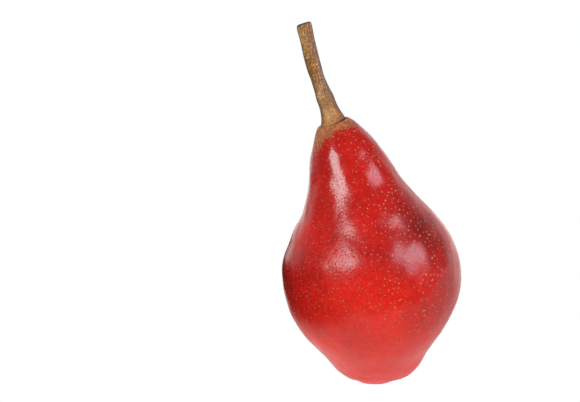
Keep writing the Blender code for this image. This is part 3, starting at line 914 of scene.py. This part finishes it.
@dataclass
class Stem:
    """The woody stem: rings along a Bezier path, with a flared foot, furrows, a knot, warts and a cut end.

    Fades are pairs of distances from the lip in millimetres. A patch's height is its distance from the lip.
    """

    path: tuple[Triple, ...] = (
        (-14.1, 3.5, 95.8), (-15.9, 4.2, 103.2), (-21.95, 5.9, 115.3), (-25.4, 8.3, 133.1))
    depth: float = 1.7 * MM
    shank: float = 2.70 * MM
    flare: float = 1.75 * MM
    flare_length: float = 5.2 * MM
    flare_power: float = 1.3
    foot_slope: float = 0.22
    foot_length: float = 4.0 * MM
    cut_slope_x: float = 0.12
    cut_slope_y: float = -0.1
    cut_length: float = 2.5 * MM
    rounding: float = 1.1 * MM
    rounding_depth: float = 0.85
    lobes: int = 5
    lobe_height: float = 0.10 * MM
    lobe_length: float = 4.5 * MM
    toe_height: float = 0.45 * MM
    toe_place: float = 0.4 * MM
    toe_length: float = 1.5 * MM
    tuck: float = 0.45 * MM
    tuck_length: float = 1.4 * MM
    knots: tuple[Knot, ...] = (
        Knot(20.5, 1.8, 0.06), Knot(9.5, 2.2, 0.28), Knot(31.0, 2.5, -0.08), Knot(14.0, 2.5, 0.04),
        Knot(35.0, 2.0, 0.07), Knot(17.0, 4.0, -0.24))
    furrows: tuple[Furrow, ...] = (
        Furrow(3, 0.06, 0.4, 26.0), Furrow(5, 0.075, 1.9, -40.0), Furrow(8, 0.05, 0.3, 60.0),
        Furrow(13, 0.03, 2.6, -35.0))
    warts: tuple[Wart, ...] = (
        Wart(33.6, 255, 0.34, 0.16), Wart(28.4, 288, 0.32, 0.14), Wart(25.4, 228, 0.42, 0.22),
        Wart(14.2, 280, 0.35, 0.1), Wart(18.0, 60, 0.4, 0.14), Wart(8.0, 130, 0.45, 0.14),
        Wart(4.6, 300, 0.4, 0.1))
    # painted sheen: where the stem faces the lights, by azimuth and distance from the lip
    painted_sheen_patches: tuple[Bell, ...] = (
        Bell(248, 3.6, 22, 2.6, 1.0), Bell(300, 3.2, 18, 1.8, 0.8), Bell(240, 10.5, 20, 2.2, 0.6),
        Bell(235, 32.0, 16, 4.0, 0.9), Bell(262, 14.0, 16, 1.6, 0.5))
    grey_patches: tuple[Bell, ...] = (
        Bell(325, 17.0, 38, 7.0, 0.9), Bell(335, 30.0, 40, 5.0, 0.6), Bell(225, 7.5, 25, 2.0, 0.6))
    furrow_fade: Pair = (2.0, 10.0)
    furrow_full: float = 0.14
    # painted shade at the foot: full from 0.6 mm under the lip, gone by 0.25 mm above it
    toe_shade_fade: Pair = (-0.6, 0.25)
    foot_fade: Pair = (1.0, 11.0)
    char_face: float = 0.75
    columns: int = 84
    rows: int = 230
    samples: int = 600

    def build(self) -> None:
        """Make the stem.

        A ring's point is the path's, plus the radius times its direction square to the path, plus a slope
        along the path near each end.
        """
        fine_t = np.linspace(0.0, 1.0, self.samples)
        controls = np.array(self.path) * MM
        fine, _ = bezier(controls, fine_t[:, None])
        run = np.concatenate([[0.0], np.cumsum(np.linalg.norm(np.diff(fine, axis=0), axis=1))])
        distance = run[-1] * np.sin(np.linspace(0.0, 1.0, self.rows) * math.pi / 2) ** 0.9
        centre, rate = bezier(controls, np.interp(distance, run, fine_t)[:, None])
        along, across, over = frames_along(rate)

        turn = turns(self.columns)[None, :]
        distance = distance[:, None]
        above, to_end = distance - self.depth, run[-1] - distance
        furrow = sum(f.height * np.sin(f.count * turn + f.phase + above / MM / f.twist * 2 * math.pi)
                     for f in self.furrows)
        wart, bumps = self._warts(turn, above / MM)
        radius = self._outline(distance, above, to_end) + self._foot(turn, above) + bumps
        seated = ease(-self.depth, 0.5 * MM, above) * ease(0.0, 9 * MM, above)
        radius = radius + furrow * MM * (0.3 + 0.7 * seated)

        sideways, depthways = radius * np.cos(turn), radius * np.sin(turn)
        near_foot = np.exp(-(distance / self.foot_length) ** 2)
        near_cut = np.exp(-(to_end / self.cut_length) ** 2)
        shear = sideways * (self.foot_slope * near_foot + self.cut_slope_x * near_cut)
        shear = shear + depthways * self.cut_slope_y * near_cut
        rings = centre[:, None] + shear[..., None] * along[:, None]
        rings = rings + sideways[..., None] * across[:, None] + depthways[..., None] * over[:, None]
        face = self._cut_face(rings[-1], along[-1])
        masks = self._masks(turn, above / MM, to_end / MM, furrow) | {"wart": wart}
        ends = {"cut": self.char_face}
        masks = {name: np.pad(np.broadcast_to(mask, furrow.shape), ((0, len(face)), (0, 0)),
                              constant_values=ends.get(name, 0.0)) for name, mask in masks.items()}
        stem = closed_piece("pear_stem", [np.concatenate([rings, face])], masks)
        dress(stem, StemFinish().build(), "stem")

    def _outline(self, distance: Array, above: Array, to_end: Array) -> Array:
        """Return the radius of the round stem: shank, flare, knots, tucked foot and rounded end."""
        flared = (np.maximum(above, 0.0) / self.flare_length) ** self.flare_power
        radius = self.shank + self.flare * np.exp(-flared)
        for knot in self.knots:
            radius = radius + knot.height * MM * np.exp(-((above / MM - knot.distance) / knot.spread) ** 2)
        corner = clamp(1.0 - to_end / self.rounding)
        radius = radius - self.rounding * (1.0 - np.sqrt(1.0 - corner ** 2)) * self.rounding_depth
        return radius - (1.0 - ease(0.0, self.tuck_length, distance)) * self.tuck

    def _foot(self, turn: Array, above: Array) -> Array:
        """Return how far the foot's lobes and its toe, which is largest towards -X, stand out."""
        lobes = self.lobe_height * np.cos(self.lobes * turn + 0.6)
        lobes = lobes * np.exp(-np.maximum(above, 0.0) / self.lobe_length)
        toe = self.toe_height * np.exp(-((above - self.toe_place) / self.toe_length) ** 2)
        return lobes + toe * (0.55 - 0.45 * np.cos(turn))

    def _warts(self, turn: Array, above: Array) -> tuple[Array, Array]:
        """Return the warts' mask and how far they stand out."""
        mask = lift = np.zeros(np.broadcast_shapes(turn.shape, above.shape))
        for wart in self.warts:
            aside = np.radians(angle_from(np.degrees(turn), wart.azimuth)) * self.shank / MM
            bell = np.exp(-((aside ** 2 + (above - wart.distance) ** 2) / wart.radius ** 2))
            lift = lift + wart.height * MM * bell
            mask = np.maximum(mask, bell)
        return clamp(mask * 1.4 - 0.3), lift

    def _masks(self, turn: Array, above: Array, to_end: Array, furrow: Array) -> dict[str, Array]:
        """Work out where the stem is furrowed, grey or charred at the cut, where its foot is, and where
        sheen and shade are painted.
        """
        azimuth = np.degrees(turn)
        return {
            "furrow": clamp(-furrow / self.furrow_full) * ease(*self.furrow_fade, above),
            # painted shade down in the socket
            "toe": 1.0 - ease(*self.toe_shade_fade, above),
            "foot": 1.0 - ease(*self.foot_fade, above),
            # painted sheen where the stem faces the lights
            "pale": clamp(add_up(self.painted_sheen_patches, azimuth, above)),
            "grey": clamp(add_up(self.grey_patches, azimuth, above)),
            "cut": clamp(0.95 - to_end * (0.75 + 0.35 * np.cos(turn))),
        }

    def _cut_face(self, edge: Array, along: Array) -> Array:
        """Draw the end ring in to a slightly uneven cut face and return the rings."""
        middle = edge.mean(axis=0)
        shares = np.array([0.9, 0.75, 0.55, 0.33, 0.12])
        sink = -0.12 * MM * np.array([-0.1, 0.3, 0.9, 0.7, 1.1])
        return middle + (edge - middle)[None] * shares[:, None, None] + sink[:, None, None] * along


# Calyx

@dataclass
class Calyx:
    """The dried calyx: five curled sepals round a tuft of stamens, hanging in the basin."""

    middle: Pair = (1.09 * MM, 0.20 * MM)
    floor: float = 4.5 * MM
    path: tuple[Triple, ...] = (
        (0.8, 0.0, 0.2), (3.7, 0.0, 0.6), (5.2, 0.0, 3.0), (2.7, 0.0, 3.75))
    lengths: tuple[float, ...] = (1.0, 0.86, 1.04, 0.78, 0.94)
    first: float = 58.0
    width: float = 3.0 * MM
    thickness: float = 0.34 * MM
    sepal_grid: tuple[int, int] = (34, 28)
    stamens: int = 14
    stamen_grid: tuple[int, int] = (12, 10)
    spiral: float = 137.5
    disc: tuple[Pair, ...] = (
        (1.6, 0.0), (2.1, 0.1), (2.3, 0.35), (2.2, 0.75), (1.6, 1.0), (0.6, 0.8))
    disc_columns: int = 40
    seed: int = 5

    def hang(self, points: Array, azimuth: float) -> Array:
        """Turn points about Z and hang them from the basin's floor, so that their +Z points down."""
        turn = math.radians(azimuth)
        x = points[..., 0] * math.cos(turn) - points[..., 1] * math.sin(turn)
        y = points[..., 0] * math.sin(turn) + points[..., 1] * math.cos(turn)
        hung = np.stack([self.middle[0] + x, self.middle[1] + y, self.floor - points[..., 2]], axis=-1)
        return hung[:, ::-1]

    def sepal(self, share: float, phase: float) -> tuple[Array, Array]:
        """Work out one sepal: a flat oval section carried along a curling path, cupped and waved.

        Args:
            share: its length as a share of the full one.
            phase: where its waves start.

        Returns:
            Its rings, and how near each point is to its edge.
        """
        path = np.array(self.path) * MM
        path = path[0] + (path - path[0]) * share
        rows, columns = self.sepal_grid
        t = np.linspace(0.0, 1.0, rows)[:, None]
        centre, rate = bezier(path, t)
        along = unit(rate)
        side = np.array([0.0, 1.0, 0.0])
        normal = np.cross(along, side)
        turn = turns(columns)[None, :]
        half = self.width / 2 * (1 - 0.8 * t ** 1.4) * (1 + 0.08 * np.sin(17 * t + phase))
        wide = half * np.cos(turn)
        cup = 0.4 * MM * (1 - 0.4 * t) * np.cos(turn) ** 2
        vein = 0.06 * MM * np.cos(5 * math.pi * np.cos(turn)) * (1 - t)
        wave = 0.14 * MM * np.sin(9 * t + phase) * np.cos(turn)
        deep = self.thickness / 2 * np.sin(turn) * (1 - 0.5 * t) - cup + vein * np.sin(turn) + wave
        rings = centre[:, None] + wide[..., None] * side + deep[..., None] * normal[:, None]
        edge = clamp(np.abs(np.cos(turn)) ** 6 * 0.6 + 0.55 * ease(0.75, 1.0, t))
        return rings, np.broadcast_to(edge, deep.shape)

    def stamen(self, rng: np.random.Generator, index: int) -> tuple[Array, Array]:
        """Work out one dried stamen: a thin bent stalk with a swollen tip.

        Args:
            rng: the seeded source of its bend and length.
            index: its place in the tuft.

        Returns:
            Its rings, and how far each point shows the tip's worn colour.
        """
        reach = 1.6 * MM * math.sqrt((index + 0.5) / self.stamens)
        length = rng.uniform(1.5, 2.5) * MM
        lean = rng.uniform(-0.5, 0.9) * MM
        sway = rng.uniform(-0.6, 0.6) * MM
        rows, columns = self.stamen_grid
        t = np.linspace(0.0, 1.0, rows)[:, None]
        centre = np.concatenate([reach + lean * t ** 2, sway * t ** 2, 0.5 * MM + length * t], axis=1)
        thick = 0.13 * MM + 0.12 * MM * np.exp(-((t - 0.9) / 0.12) ** 2)
        turn = turns(columns)[None, :]
        ring = np.stack([thick * np.cos(turn), thick * np.sin(turn), 0 * t * turn], axis=-1)
        return centre[:, None] + ring, np.broadcast_to(0.8 * ease(0.75, 0.95, t), (rows, columns))

    def build(self) -> None:
        """Make the calyx as one piece."""
        rng = np.random.default_rng(self.seed)
        turn = turns(self.disc_columns)
        rough = 1 + 0.06 * np.sin(5 * turn) + 0.04 * np.sin(11 * turn + 1)
        radius, depth = (np.array(self.disc)[:, i, None] * MM for i in range(2))
        radius = radius * rough
        disc = np.stack([radius * np.cos(turn), radius * np.sin(turn), depth + 0 * turn], axis=-1)
        shells, edges = [self.hang(disc, 0.0)], [np.zeros(disc.shape[:2])]
        for i, share in enumerate(self.lengths):
            rings, edge = self.sepal(share, i * 2.1)
            shells.append(self.hang(rings, self.first + i * 360.0 / len(self.lengths)))
            edges.append(edge[:, ::-1])
        for i in range(self.stamens):
            rings, edge = self.stamen(rng, i)
            shells.append(self.hang(rings, i * self.spiral))
            edges.append(edge)
        edge = np.concatenate([part.reshape(-1) for part in edges])
        dress(closed_piece("pear_calyx", shells, {"edge": edge}), CalyxFinish().build(), "calyx")


# Studio

class Side(Enum):
    """Which side of the camera a light stands on."""

    LEFT = -1
    RIGHT = 1


def stand_off(obj: bpy.types.Object, target: Vector, turn: float, rise: float, distance: float) -> None:
    """Stand an object this far from a target, degrees to the right and up, and aim it there."""
    turn, rise = math.radians(turn), math.radians(rise)
    way = Vector((math.sin(turn) * math.cos(rise), -math.cos(turn) * math.cos(rise), math.sin(rise)))
    obj.location = target + way * distance
    obj.rotation_euler = (-way).to_track_quat("-Z", "Y").to_euler()


@dataclass(frozen=True)
class Softbox:
    """A soft light aimed at the pear, placed by its angles from the camera's side."""

    name: str
    side: Side
    angle: float
    elevation: float
    distance: float
    width: float
    height: float
    radiance: float
    colour: Colour

    def build(self, target: Vector) -> None:
        """Hang the light, with power for its radiance, and aim it."""
        light = bpy.data.lights.new(self.name, "AREA")
        light.shape = "RECTANGLE"
        light.size, light.size_y = self.width, self.height
        light.energy = self.radiance * math.pi * self.width * self.height
        light.color = self.colour
        obj = place_object(self.name, light)
        stand_off(obj, target, self.angle * self.side.value, self.elevation, self.distance)


@dataclass(frozen=True)
class Ground:
    """The floor: plain white to the camera, and for the skin's reflections pale beside and behind the pear.

    The camera looks along +Y, so what the skin mirrors near its outline lies behind the pear. A pair says
    where a zone's fade starts and ends, in metres.
    """

    size: float = 14.0
    drop: float = 0.02 * MM
    dark: Colour = (0.06, 0.01, 0.01)
    pale: Colour = (0.78, 0.76, 0.73)
    glow: Colour = (2.3, 2.2, 2.1)
    glow_strength: float = 0.30
    glow_from: Pair = (0.03, 0.10)
    behind_from: Pair = (0.225, 0.25)
    behind_wedge: Pair = (-0.04, 0.03)
    beside_from: Pair = (-0.07, -0.028)
    right_from: Pair = (0.0, 0.06)
    right_dim: float = 0.2
    left_behind: Pair = (0.23, 0.26)
    left_from: Pair = (0.10, 0.14)
    left_share: float = 0.4
    front_to: Pair = (0.085, 0.175)

    def build(self) -> None:
        """Lay the floor just under the pear."""
        half = self.size / 2
        corners = [(-half, -half), (half, -half), (half, half), (-half, half)]
        floor = new_object("floor", np.array([(x, y, -self.drop) for x, y in corners]), [(0, 1, 2, 3)])
        finish = Finish("pale_floor")
        g = finish.graph
        x, y = (g.add("ShaderNodeSeparateXYZ", inputs={0: g.place()}, output=axis) for axis in "XY")
        behind = y.smooth(*self.behind_from) * (x + y * 0.8).smooth(*self.behind_wedge)
        right = (x - y * 0.45).smooth(*self.right_from)
        beside = x.smooth(*self.beside_from) * (1.0 - right * self.right_dim)
        left = y.smooth(*self.left_behind) * (x * -1.0).smooth(*self.left_from) * self.left_share
        lit = (behind + beside + left).clamped() * (1.0 - (y * -1.0).smooth(*self.front_to))
        tone = g.mix(lit, self.dark, self.pale)
        sheet = g.add("ShaderNodeBsdfPrincipled", inputs={
            "Base Color": tone,
            "Roughness": 0.9,
            "Specular IOR Level": 0.0,
            # the floor gives off light in its own tone, stronger where it is lit behind the pear: painted
            # light that fills the pear
            "Emission Color": g.mix(lit * y.smooth(*self.glow_from), tone, self.glow),
            "Emission Strength": self.glow_strength,
        })
        white = g.add("ShaderNodeEmission", inputs={"Strength": 1.0})
        seen = g.add("ShaderNodeLightPath", output="Is Camera Ray")
        mixed = g.add("ShaderNodeMixShader", inputs={0: seen, 1: sheet, 2: white})
        g.add("ShaderNodeOutputMaterial", inputs={"Surface": mixed})
        floor.data.materials.append(finish.material)


@dataclass
class Studio:
    """Pale floor, soft lights, a white sweep behind, and the camera at the photograph's angle."""

    aim: Vector = Vector((-30.26 * MM, 0.17 * MM, 68.53 * MM))
    camera_distance: float = 592 * MM
    camera_elevation: float = 17.0
    lens: float = 100.0
    sensor: float = 36.0
    lit_height: float = 50 * MM
    lights: tuple[Softbox, ...] = (
        Softbox("left_softbox", Side.LEFT, 41.0, 24.0, 2.0, 0.98, 1.05, 11.6, (0.92, 1.06, 1.09)),
        Softbox("right_softbox", Side.RIGHT, 64.0, 25.5, 2.0, 1.12, 1.10, 6.2, (1.0, 0.95, 1.10)),
    )
    sweep_from: Pair = (0.25, 0.80)
    sweep_strength: float = 0.75
    front_strength: float = 0.12

    def build(self) -> None:
        """Build everything round the pear."""
        self.add_camera()
        Ground().build()
        self.add_world()
        for light in self.lights:
            light.build(Vector((0.0, 0.0, self.lit_height)))
        bpy.context.scene.view_settings.view_transform = "Standard"
        bpy.context.scene.view_settings.look = "None"
        log.info("studio: %d lights", len(self.lights))

    def add_camera(self) -> None:
        """Aim the camera down at the pear, which stands right of the middle of the frame."""
        camera = bpy.data.cameras.new("camera")
        camera.lens, camera.sensor_width = self.lens, self.sensor
        obj = place_object("camera", camera)
        stand_off(obj, self.aim, 0.0, self.camera_elevation, self.camera_distance)
        bpy.context.scene.camera = obj

    def add_world(self) -> None:
        """Make the surroundings: white behind, dark in front, and white wherever the camera sees them."""
        world = bpy.data.worlds.new("studio")
        bpy.context.scene.world = world
        world.use_nodes = True
        g = Graph(world.node_tree)
        way = g.add("ShaderNodeTexCoord", output="Generated")
        y = g.add("ShaderNodeSeparateXYZ", inputs={0: way}, output="Y")
        strength = y.smooth(*self.sweep_from) * self.sweep_strength + self.front_strength
        seen = g.add("ShaderNodeLightPath", output="Is Camera Ray")
        strength = strength + (1.0 - strength) * seen
        inputs = {"Color": (1.0, 1.0, 1.0, 1.0), "Strength": strength}
        background = g.add("ShaderNodeBackground", inputs=inputs)
        g.add("ShaderNodeOutputWorld", inputs={"Surface": background})


def main() -> None:
    """Build the studio and the pear's pieces in order."""
    logging.basicConfig(level=logging.INFO, format="%(name)s: %(message)s")
    Studio().build()
    fruit = Fruit()
    fruit.build()
    Lenticels(fruit).build()
    Stem().build()
    Calyx().build()


if __name__ == "__main__":
    main()
